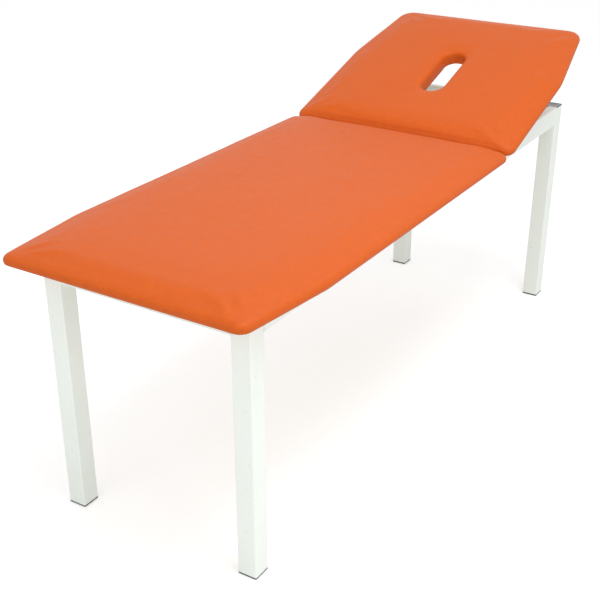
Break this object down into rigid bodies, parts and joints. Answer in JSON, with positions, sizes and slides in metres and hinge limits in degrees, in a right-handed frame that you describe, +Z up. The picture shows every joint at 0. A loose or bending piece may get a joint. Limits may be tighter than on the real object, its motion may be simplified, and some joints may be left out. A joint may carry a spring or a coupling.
{
  "type": "examination table",
  "caption": "Padded examination table on a square-tube steel frame, with a hinged headrest that tilts up on a notched prop and has a face slot.",
  "frame": {"origin": "on the floor, under the middle of the table's outline with the headrest at its stored tilt", "axes": "+X along the table towards the head end, +Y across the table to its right side, +Z up"},
  "size_m": [1.9164, 0.71, 0.9076],
  "materials": {
    "white_coat": "satin white powder coat",
    "black_plastic": "fine matt moulded plastic",
    "plywood": "raw birch plywood",
    "foam": "open-cell foam",
    "vinyl": "fine-grained orange vinyl",
    "zinc": "bright zinc plating"
  },
  "bodies": {
    "frame": {"leg_foot_left": "white_coat", "leg_foot_right": "white_coat", "leg_head_left": "white_coat", "leg_head_right": "white_coat", "side_rail_left": "white_coat", "side_rail_right": "white_coat", "foot_end_rail": "white_coat", "head_end_rail": "white_coat", "foot_cross_rail": "white_coat", "hinge_cross_rail": "white_coat", "leg_top_caps": "black_plastic", "foot_glides": "black_plastic", "body_board": "plywood", "body_foam": "foam", "body_cover": "vinyl", "board_screws": "zinc", "hinge_fixed_leaf_left": "zinc", "hinge_fixed_leaf_right": "zinc", "hinge_pins": "zinc", "fixed_leaf_screws": "zinc", "rack_plate_left": "white_coat", "rack_plate_right": "white_coat"},
    "headrest": {"head_board": "plywood", "head_foam": "foam", "head_cover": "vinyl", "hinge_moving_leaf_left": "zinc", "hinge_moving_leaf_right": "zinc", "moving_leaf_screws": "zinc", "prop_bracket_left": "zinc", "prop_bracket_right": "zinc", "bracket_screws": "zinc", "prop_pivot_pins": "zinc"},
    "prop": {"prop_arm_left": "zinc", "prop_arm_right": "zinc", "prop_rod": "zinc", "rod_collars": "black_plastic"}
  },
  "joints": [
    {"name": "headrest_tilt", "type": "hinge", "parent": "frame", "child": "headrest", "pos_m": [0.3068, 0, 0.6713], "axis": [0, -1, 0], "range_deg": [-18, 27]},
    {"name": "prop_swing", "type": "hinge", "parent": "headrest", "child": "prop", "pos_m": [0.54828, 0, 0.736], "axis": [0, -1, 0], "range_deg": [-54, 36]}
  ],
  "couplings": [
    {"joint": "prop_swing", "follows": "headrest_tilt", "ratio": -2}
  ]
}
